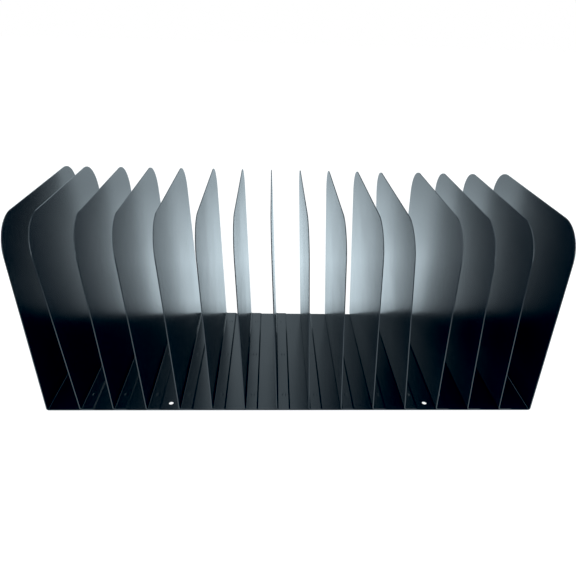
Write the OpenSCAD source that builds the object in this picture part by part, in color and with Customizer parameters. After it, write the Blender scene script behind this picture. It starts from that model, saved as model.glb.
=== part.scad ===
// Desktop file sorter: a bent sheet-steel tray with a row of spot-welded L-shaped dividers.
// Millimetres. +X is to the right along the row, +Y is from the front to the back, +Z is up.
// The origin is on the desk, under the middle of the tray.

/* [Overall] */
// Distance from one panel to the next along the row
pitch = 38.1; // [30:0.1:50]
// Depth of every panel and of the floor, front edge to back edge
tray_depth = 221; // [150:1:300]
// Height of every panel above the tray's underside, measured along the sheet
panel_height = 228; // [150:1:300]
// Radius of the two rounded top corners of every panel
corner_r = 35; // [5:0.5:60]

/* [Sheet steel] */
// Thickness of the painted sheet
sheet_t = 1; // [0.8:0.05:1.5]
// Inside radius of every bend
bend_r = 1.8; // [1:0.1:3]
// Width of the bevel along the top of a flange's free edge
edge_bevel_w = 1.8; // [0.5:0.1:2.5]
// Depth of that bevel
edge_bevel_h = 0.7; // [0.2:0.1:0.7]

/* [Dividers] */
// Width of the flange that each divider stands on, measured from the panel's left face
flange_w = 16.5; // [12:0.5:20]
// Lean of each divider away from its flange, left to right, in degrees: the bends are not all alike
divider_lean = [2, 1, 1.5, 1.5, 1, 1.5, 2, 2.5, 3, 3.5, 5.5, 3, 4.5, 4.5]; // [0:0.5:6]

/* [End panels] */
// Inward lean of the left end panel, in degrees
left_end_lean = 1.5; // [0:0.5:4]
// Inward lean of the right end panel, in degrees
right_end_lean = 3.5; // [0:0.5:4]

/* [Floor holes] */
// Diameter of the two holes through the floor
hole_d = 5.5; // [4:0.1:8]
// Distance from the front edge to the holes' centres
hole_inset = 12; // [6:0.5:30]
// Slot that holds the left hole, counted from the left end
left_hole_slot = 4; // [2:1:7]
// Slot that holds the right hole, counted from the left end
right_hole_slot = 12; // [9:1:14]

/* [Spot welds] */
// Spot welds along each flange
weld_count = 3; // [2:1:6]
// Distance from the panel's front and back edges to the nearest weld
weld_inset = 26; // [15:1:40]
// Diameter of the round dent that each weld leaves
weld_d = 5; // [3:0.5:6]
// Depth of that dent
weld_dent = 0.2; // [0.1:0.05:0.3]

/* [Rubber feet] */
// Diameter of a foot where it meets the tray
foot_d = 12.7; // [10:0.1:16]
// Height of a foot
foot_h = 3; // [2:0.5:6]
// Distance from the tray's ends to the feet's centres
foot_inset_x = 32; // [20:1:60]
// Distance from the tray's front and back edges to the feet's centres
foot_inset_y = 28; // [20:1:60]

/* [Hidden] */
divider_count = 14;
slot_count = divider_count + 1;
bend_outer = bend_r + sheet_t;
floor_z = foot_h;
floor_top = floor_z + sheet_t;
end_x = slot_count * pitch / 2;
bend_x = end_x + sheet_t / 2 - bend_outer;
front_y = -tray_depth / 2;
divider_up = panel_height - sheet_t - bend_outer;
end_up = panel_height - bend_outer;
flange_flat = flange_w - bend_outer;
weld_floor_d = 0.7 * weld_d;
foot_edge = 0.8;
foot_taper = 0.6;
paint = [0.05, 0.055, 0.065];
rubber = [0.09, 0.09, 0.09];
fine = 96;
bend_steps = 12;

// X of panel number i where it meets the floor: 0 is the left end panel, slot_count the right one.
function panel_x(i) = i * pitch - end_x;

// X of the centre of divider number i's bend, to the right of its panel.
function bend_centre_x(i) = panel_x(i) - sheet_t / 2 + bend_outer;

// X of a hole in a slot: half-way between the edge of the slot's flange and the next panel.
function hole_x(slot) = (panel_x(slot - 1) + panel_x(slot) + flange_w - sheet_t) / 2;

// Point at x, z in a frame that leans left by lean degrees about the origin.
function leaned(x, z, lean) = [x * cos(lean) - z * sin(lean), x * sin(lean) + z * cos(lean)];

// Points of an arc of radius r about the origin, from angle a to angle b.
function arc(r, a, b) = [for (k = [0 : bend_steps]) r * [cos(a + k * (b - a) / bend_steps),
                                                         sin(a + k * (b - a) / bend_steps)]];

// Part of a sheet's section in X and Z, about its bend's centre: the outside of the bend, then an
// upright that leans left by lean degrees, then the inside of the bend.
function bend_and_upright(up, lean) = concat(
    arc(bend_outer, 270, 180 + lean),
    [leaned(-bend_outer, up, lean), leaned(-bend_r, up, lean)],
    arc(bend_r, 180 + lean, 270)
);

// Section of a divider: a flat that runs to the right and ends in a bevelled edge, then its bend.
function divider_section(flat, up, lean) = concat(
    [[flat, -bend_outer]],
    bend_and_upright(up, lean),
    [[flat - edge_bevel_w, -bend_r], [flat, -bend_r - edge_bevel_h]]
);

// Outline of a panel seen from its side: it rises by up above the bend's centre, both its top
// corners are round, and it runs on below the centre by reach.
module panel_outline(up, reach) {
    translate([0, -reach])
        square([tray_depth, reach + up - corner_r]);
    translate([corner_r, -reach])
        square([tray_depth - 2 * corner_r, reach + up]);
    for (y = [corner_r, tray_depth - corner_r])
        translate([y, up - corner_r])
            circle(r = corner_r, $fn = fine);
}

// A divider's bent sheet over the whole depth of the tray: its section, cut to the outline.
module bent_sheet(flat, up, lean) {
    reach = flat + 2 * bend_outer;
    intersection() {
        translate([0, 1 - front_y, 0])
            rotate([90, 0, 0])
                linear_extrude(height = tray_depth + 2)
                    polygon(divider_section(flat, up + 1, lean));
        rotate([0, -lean, 0])
            translate([-reach, front_y, 0])
                rotate([90, 0, 90])
                    linear_extrude(height = 2 * reach)
                        panel_outline(up, reach);
    }
}

// Round dents that a divider's spot welds leave in a sheet face at z = 0, about its bend's centre.
module weld_dents() {
    run = tray_depth - 2 * weld_inset;
    for (k = [0 : weld_count - 1])
        translate([flange_flat / 2, front_y + weld_inset + k * run / (weld_count - 1), -weld_dent])
            cylinder(d1 = weld_floor_d, d2 = 2 * weld_d - weld_floor_d, h = 2 * weld_dent, $fn = fine);
}

// Divider number i, counted from the left: flange, bend and leaning panel in one sheet.
module divider(i) {
    lean = divider_lean[i - 1];
    color(paint)
        translate([bend_centre_x(i), 0, floor_top + bend_outer])
            difference() {
                bent_sheet(flange_flat, divider_up, lean);
                translate([0, 0, -bend_r])
                    weld_dents();
            }
}

// Section of the whole tray in X and Z: the left end's bend and panel, then the right end's,
// turned over and run backwards, so that the floor closes the ring between them.
function tray_section() =
    let (
        left = bend_and_upright(end_up, -left_end_lean),
        right = bend_and_upright(end_up, -right_end_lean)
    )
    concat(
        [for (p = left) p - [bend_x, 0]],
        [for (k = [len(right) - 1 : -1 : 0]) [bend_x - right[k][0], right[k][1]]]
    );

// Waste outside the two round top corners of an end panel, about its bend's centre.
module corner_waste() {
    for (back = [0, 1])
        mirror([0, back, 0])
            translate([-2 * bend_outer, front_y, end_up - corner_r])
                rotate([90, 0, 90])
                    linear_extrude(height = 4 * bend_outer)
                        difference() {
                            translate([-1, 0])
                                square(corner_r + 1);
                            translate([corner_r, 0])
                                circle(r = corner_r, $fn = fine);
                        }
}

// Floor and both end panels, bent from one sheet.
module base_tray() {
    color(paint)
        translate([0, 0, floor_z + bend_outer])
            difference() {
                translate([0, -front_y, 0])
                    rotate([90, 0, 0])
                        linear_extrude(height = tray_depth)
                            polygon(tray_section());
                translate([-bend_x, 0, 0])
                    rotate([0, left_end_lean, 0])
                        corner_waste();
                translate([bend_x, 0, 0])
                    rotate([0, -right_end_lean, 0])
                        corner_waste();
                for (slot = [left_hole_slot, right_hole_slot])
                    translate([hole_x(slot), front_y + hole_inset, -2 * bend_outer])
                        cylinder(d = hole_d, h = 2 * bend_outer, $fn = fine);
                for (i = [1 : divider_count])
                    translate([bend_centre_x(i), 0, -bend_outer])
                        mirror([0, 0, 1])
                            weld_dents();
            }
}

// One stick-on rubber foot: a low round pad, wider at the top, with an eased edge at its sole.
module foot(side_x, side_y) {
    sole_r = foot_d / 2 - foot_taper;
    color(rubber)
        translate([side_x * (end_x - foot_inset_x), side_y * (tray_depth / 2 - foot_inset_y), 0])
            rotate_extrude($fn = fine) {
                polygon([
                    [0, 0],
                    [sole_r - foot_edge, 0],
                    [sole_r, foot_edge],
                    [foot_d / 2, foot_h],
                    [0, foot_h]
                ]);
            }
}

base_tray();
divider(1);  // divider_01
divider(2);  // divider_02
divider(3);  // divider_03
divider(4);  // divider_04
divider(5);  // divider_05
divider(6);  // divider_06
divider(7);  // divider_07
divider(8);  // divider_08
divider(9);  // divider_09
divider(10);  // divider_10
divider(11);  // divider_11
divider(12);  // divider_12
divider(13);  // divider_13
divider(14);  // divider_14
foot(-1, -1);  // foot_front_left
foot(1, -1);  // foot_front_right
foot(-1, 1);  // foot_rear_left
foot(1, 1);  // foot_rear_right
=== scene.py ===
"""Looks of the desktop file sorter: enamelled sheet steel on a white studio floor."""

import math

import bpy
from mathutils import Matrix, Vector


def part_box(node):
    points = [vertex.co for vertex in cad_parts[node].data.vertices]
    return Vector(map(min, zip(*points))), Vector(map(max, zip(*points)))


MM = 0.001

# Edges: every cut edge is rounded, and the rounded strip carries a node's second material.
EDGE_ROUND = 0.15 * MM
EDGE_SEGMENTS = 2
EDGE_ANGLE = math.radians(30)  # edges sharper than this are rounded
SMOOTH_ANGLE = math.radians(12)  # edges flatter than this are parts of a curve
EDGE_SLOT = 1

# Enamel. A noise's scale is in cells to a metre. A range is (from, to) in the noise's own value.
ENAMEL_IOR = 1.75
CLOUD_SCALE = 14.0
CLOUD_RANGE = (0.35, 0.7)
CLOUD_ROUGHNESS = (0.225, 0.255)
DEEP_TONE = (0.0004, 0.0022, 0.0050, 1)
THIN_TONE = (0.0010, 0.0036, 0.0075, 1)
RUB_SCALE = 55.0
RUB_RANGE = (0.5, 0.62)
RUB_ROUGHER = 0.2
RUB_TONE = (0.020, 0.022, 0.024, 1)
RIPPLE_SCALE = 9.0
RIPPLE = {"distance": 0.6 * MM, "strength": 0.25}
PEEL_SCALE = 420.0
PEEL = {"distance": 0.02 * MM, "strength": 0.03}

# Rubber
DUST_SCALE = 320.0
DUST_RANGE = (0.3, 0.7)
DUST_ROUGHNESS = (0.72, 0.88)
CLEAN_RUBBER = (0.012, 0.012, 0.012, 1)
DUSTY_RUBBER = (0.035, 0.034, 0.032, 1)
GRAIN_SCALE = 2600.0
GRAIN = {"distance": 0.05 * MM, "strength": 0.4}

# Camera: where it stands, from the middle of the tray's front edge, and where it points.
CAMERA_FROM_FRONT = Vector((-25.8, -452.7, 403.3)) * MM
CAMERA_PITCH = math.radians(33.45)
CAMERA_YAW = math.radians(-2.76)
CAMERA_ROLL = math.radians(1.80)
CAMERA_LENS = 31.7
CAMERA_SENSOR = 36.0
CAMERA_SHIFT = (-0.0066, 0.0851)
CAMERA_CLIP = 10 * MM

# The studio is a glowing floor and a dome. The camera sees both as plain white, and every other
# ray sees the cool lights below.
WHITE = (1, 1, 1, 1)
COOL = (0.765, 0.915, 1.0, 1)

# FLOOR_GLOW is pairs of a distance behind the tray's front edge and the floor's strength there.
FLOOR_GLOW = (
    (-0.75, 1.6), (-0.60, 0.10), (-0.26, 0.10), (-0.18, 1.1),
    (0.22, 0.9), (0.27, 1.6), (0.42, 2.05), (0.9, 1.0),
)
# FLOOR_ACROSS is pairs of a distance to either side of FLOOR_DIM_X and a factor on that strength.
FLOOR_ACROSS = ((0.05, 0.73), (0.11, 1.0))
FLOOR_DIM_X = -0.015
FLOOR_MATT = (0.14, 0.14, 0.14, 1)
FLOOR_SIZE = 12.0

# Lights of the dome, by X, Y and Z of the direction that a ray looks in. DOME is pairs of a Z and
# a strength. The others are (from, to, value at the first, value at the second), and the values of
# one light are multiplied.
DOME = ((0.0, 0.1), (0.7, 0.2), (0.95, 1.2))
SOFTBOX_X = -0.09
SOFTBOX_ASIDE = (0.10, 0.25, 0.8, 0.0)
SOFTBOX_BEHIND = (0.0, 0.4, 0.0, 1.0)
SOFTBOX_HIGH = (0.0, 0.6, 0.2, 1.0)
FILL_FRONT = (-0.2, -0.6, 0.0, 0.9)
FILL_HIGH = (0.05, 0.3, 0.0, 1.0)
SIDES_ASIDE = (0.2, 0.34, 0.0, 1.1)
SIDES_LOW = (0.2, 0.45, 1.0, 0.0)

# Developing: the picture's shadows are crushed, its red ones most, so that they look cool.
BLACK_LEVEL = (0.0055, 0.0035, 0.0012)


# ---------------------------------------------------------------- node helpers


class Nodes:
    """A small wrapper that builds a node tree."""

    # Sockets of the Mix node when it mixes colours
    MIX_FACTOR, MIX_A, MIX_B, MIX_RESULT = 0, 6, 7, 2

    def __init__(self, tree):
        self.tree = tree
        tree.nodes.clear()

    def add(self, kind, inputs=None, **settings):
        node = self.tree.nodes.new(kind)
        for key, value in settings.items():
            setattr(node, key, value)
        for key, value in (inputs or {}).items():
            if isinstance(value, bpy.types.NodeSocket):
                self.tree.links.new(value, node.inputs[key])
            else:
                node.inputs[key].default_value = value
        return node

    def noise(self, vector, scale, detail):
        inputs = {"Vector": vector, "Scale": scale, "Detail": detail, "Roughness": 0.5}
        return self.add("ShaderNodeTexNoise", inputs).outputs["Fac"]

    def remap(self, value, low, high, out_low, out_high):
        inputs = {
            "Value": value,
            "From Min": low,
            "From Max": high,
            "To Min": out_low,
            "To Max": out_high,
        }
        return self.add("ShaderNodeMapRange", inputs).outputs["Result"]

    def maths(self, operation, a, b=0.0):
        return self.add("ShaderNodeMath", {0: a, 1: b}, operation=operation).outputs[0]

    def steps(self, value, points):
        """A broken line through points, as the sum of the climbs between them."""
        total = points[0][1]
        for (low, out_low), (high, out_high) in zip(points, points[1:]):
            climb = self.remap(value, low, high, 0.0, out_high - out_low)
            total = self.maths("ADD", climb, total)
        return total

    def aside(self, value, centre):
        """How far value is from centre, to either side."""
        return self.maths("ABSOLUTE", self.maths("SUBTRACT", value, centre))

    def mix_colour(self, factor, a, b):
        inputs = {self.MIX_FACTOR: factor, self.MIX_A: a, self.MIX_B: b}
        node = self.add("ShaderNodeMix", inputs, data_type="RGBA")
        return node.outputs[self.MIX_RESULT]

    def bump(self, height, distance, strength, normal=None):
        inputs = {"Height": height, "Distance": distance, "Strength": strength}
        if normal is not None:
            inputs["Normal"] = normal
        return self.add("ShaderNodeBump", inputs).outputs["Normal"]

    def light(self, kind, colour, strength):
        """An emission or a background, as kind says."""
        return self.add(kind, {"Color": colour, "Strength": strength}).outputs[0]

    def seen_or_not(self, seen, unseen):
        """One shader for what the camera sees itself, another for every other ray."""
        direct = self.add("ShaderNodeLightPath").outputs["Is Camera Ray"]
        return self.add("ShaderNodeMixShader", {0: direct, 1: unseen, 2: seen}).outputs[0]


def new_material(name):
    """An empty node material and the wrapper of its tree."""
    material = bpy.data.materials.new(name)
    material.use_nodes = True
    return material, Nodes(material.node_tree)


def finish_surface(n, inputs):
    """Ends a material's tree with one principled shader."""
    shader = n.add("ShaderNodeBsdfPrincipled", inputs).outputs["BSDF"]
    n.add("ShaderNodeOutputMaterial", {"Surface": shader})


# ---------------------------------------------------------------- materials


def enamel(worn):
    """Gloss black baked enamel with a slow ripple of the sheet and a faint orange peel.

    The worn one is for rounded edges: it has matt, lighter patches where files have rubbed it.
    """
    material, n = new_material("rubbed_enamel" if worn else "gloss_enamel")
    place = n.add("ShaderNodeTexCoord").outputs["Object"]

    cloud = n.noise(place, CLOUD_SCALE, 4.0)
    roughness = n.remap(cloud, *CLOUD_RANGE, *CLOUD_ROUGHNESS)
    tone = n.mix_colour(cloud, DEEP_TONE, THIN_TONE)
    if worn:
        rubbed = n.remap(n.noise(place, RUB_SCALE, 4.0), *RUB_RANGE, 0.0, 1.0)
        roughness = n.maths("ADD", roughness, n.maths("MULTIPLY", rubbed, RUB_ROUGHER))
        tone = n.mix_colour(rubbed, tone, RUB_TONE)

    ripple = n.bump(n.noise(place, RIPPLE_SCALE, 1.0), **RIPPLE)
    peel = n.bump(n.noise(place, PEEL_SCALE, 1.0), normal=ripple, **PEEL)

    finish_surface(n, {
        "Base Color": tone,
        "Roughness": roughness,
        "IOR": ENAMEL_IOR,
        "Normal": peel,
    })
    return material


def rubber():
    """Matt black rubber with a fine moulded grain and a little dust."""
    material, n = new_material("moulded_rubber")
    place = n.add("ShaderNodeTexCoord").outputs["Object"]
    dust = n.noise(place, DUST_SCALE, 4.0)
    tone = n.mix_colour(dust, CLEAN_RUBBER, DUSTY_RUBBER)
    roughness = n.remap(dust, *DUST_RANGE, *DUST_ROUGHNESS)
    grain = n.bump(n.noise(place, GRAIN_SCALE, 2.0), **GRAIN)
    finish_surface(n, {"Base Color": tone, "Roughness": roughness, "Normal": grain})
    return material


def studio_floor(front_y):
    """A white floor that glows like a light table, by FLOOR_GLOW and FLOOR_ACROSS."""
    material, n = new_material("studio_floor")
    place = n.add("ShaderNodeNewGeometry").outputs["Position"]
    axes = n.add("ShaderNodeSeparateXYZ", {0: place}).outputs
    along = n.steps(n.maths("SUBTRACT", axes["Y"], front_y), FLOOR_GLOW)
    across = n.steps(n.aside(axes["X"], FLOOR_DIM_X), FLOOR_ACROSS)
    strength = n.maths("MULTIPLY", along, across)
    glow = n.light("ShaderNodeEmission", COOL, strength)
    white = n.light("ShaderNodeEmission", WHITE, 1.0)
    matt = n.add("ShaderNodeBsdfDiffuse", {"Color": FLOOR_MATT}).outputs[0]
    shader = n.add("ShaderNodeAddShader", {0: n.seen_or_not(white, glow), 1: matt}).outputs[0]
    n.add("ShaderNodeOutputMaterial", {"Surface": shader})
    return material


# ---------------------------------------------------------------- the object


def ease_edges(obj):
    """Rounds the sharp edges of a CAD node's shape and shades it smoothly between them."""
    mesh = obj.data
    mesh.polygons.foreach_set("use_smooth", [True] * len(mesh.polygons))
    mesh.set_sharp_from_angle(angle=SMOOTH_ANGLE)
    bevel = obj.modifiers.new("eased_edges", "BEVEL")
    bevel.width = EDGE_ROUND
    bevel.segments = EDGE_SEGMENTS
    bevel.limit_method = "ANGLE"
    bevel.angle_limit = EDGE_ANGLE
    bevel.harden_normals = True
    bevel.material = EDGE_SLOT


def dress_nodes(frame):
    """Gives every node a material for its faces and one for the edges that ease_edges rounds."""
    steel_looks = (enamel(worn=False), enamel(worn=True))
    foot_looks = (rubber(),) * 2
    for name, obj in frame["nodes"].items():
        obj.data.materials.clear()
        for look in foot_looks if name.startswith("foot_") else steel_looks:
            obj.data.materials.append(look)
        ease_edges(obj)


# ---------------------------------------------------------------- the studio


def add_floor(front_y):
    mesh = bpy.data.meshes.new("studio_floor")
    h = FLOOR_SIZE / 2
    mesh.from_pydata([(-h, -h, 0), (h, -h, 0), (h, h, 0), (-h, h, 0)], [], [(0, 1, 2, 3)])
    mesh.materials.append(studio_floor(front_y))
    floor = bpy.data.objects.new("studio_floor", mesh)
    bpy.context.scene.collection.objects.link(floor)


def add_world():
    """A dim dome, brighter overhead, with a soft box behind, low sides and a fill in front."""
    world = bpy.data.worlds.new("studio")
    world.use_nodes = True
    n = Nodes(world.node_tree)
    towards = n.add("ShaderNodeTexCoord").outputs["Generated"]
    axes = n.add("ShaderNodeSeparateXYZ", {0: towards}).outputs
    x, y, z = axes["X"], axes["Y"], axes["Z"]

    dome = n.steps(z, DOME)
    box = n.remap(n.aside(x, SOFTBOX_X), *SOFTBOX_ASIDE)
    reach = n.maths("MULTIPLY", n.remap(y, *SOFTBOX_BEHIND), n.remap(z, *SOFTBOX_HIGH))
    softbox = n.maths("MULTIPLY", box, reach)
    fill = n.maths("MULTIPLY", n.remap(y, *FILL_FRONT), n.remap(z, *FILL_HIGH))
    side = n.remap(n.maths("ABSOLUTE", x), *SIDES_ASIDE)
    sides = n.maths("MULTIPLY", side, n.remap(z, *SIDES_LOW))

    strength = n.maths("ADD", n.maths("ADD", dome, sides), n.maths("ADD", softbox, fill))
    glow = n.light("ShaderNodeBackground", COOL, strength)
    white = n.light("ShaderNodeBackground", WHITE, 1.0)
    n.add("ShaderNodeOutputWorld", {"Surface": n.seen_or_not(white, glow)})
    bpy.context.scene.world = world


def add_camera(front_y, desk_z):
    """The camera's axes come from its yaw, pitch and roll, in that order."""
    cy, sy = math.cos(CAMERA_YAW), math.sin(CAMERA_YAW)
    cp, sp = math.cos(CAMERA_PITCH), math.sin(CAMERA_PITCH)
    cr, sr = math.cos(CAMERA_ROLL), math.sin(CAMERA_ROLL)
    level = Vector((cy, sy, 0))
    down = Vector((sy * sp, -cy * sp, -cp))
    forward = Vector((-sy * cp, cy * cp, -sp))
    right = cr * level - sr * down
    up = -(sr * level + cr * down)

    data = bpy.data.cameras.new("camera")
    data.lens = CAMERA_LENS
    data.sensor_width = CAMERA_SENSOR
    data.shift_x, data.shift_y = CAMERA_SHIFT
    data.clip_start = CAMERA_CLIP
    camera = bpy.data.objects.new("camera", data)
    place = CAMERA_FROM_FRONT + Vector((0, front_y, desk_z))
    turn = Matrix((right, up, -forward)).transposed()
    camera.matrix_world = Matrix.Translation(place) @ turn.to_4x4()
    bpy.context.scene.collection.objects.link(camera)
    bpy.context.scene.camera = camera


def set_view():
    view = bpy.context.scene.view_settings
    view.view_transform = "Standard"
    view.look = "None"
    view.use_curve_mapping = True
    view.curve_mapping.black_level = BLACK_LEVEL
    view.curve_mapping.update()


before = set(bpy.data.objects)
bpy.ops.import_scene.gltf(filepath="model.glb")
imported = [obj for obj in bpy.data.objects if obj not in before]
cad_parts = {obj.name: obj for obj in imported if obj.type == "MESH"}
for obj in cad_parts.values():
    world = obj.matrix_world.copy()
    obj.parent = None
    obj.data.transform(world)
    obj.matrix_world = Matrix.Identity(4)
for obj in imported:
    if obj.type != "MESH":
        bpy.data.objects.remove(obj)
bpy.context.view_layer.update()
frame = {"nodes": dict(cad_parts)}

dress_nodes(frame)
tray_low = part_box("base_tray")[0]
add_floor(tray_low.y)
add_world()
add_camera(tray_low.y, tray_low.z)
set_view()
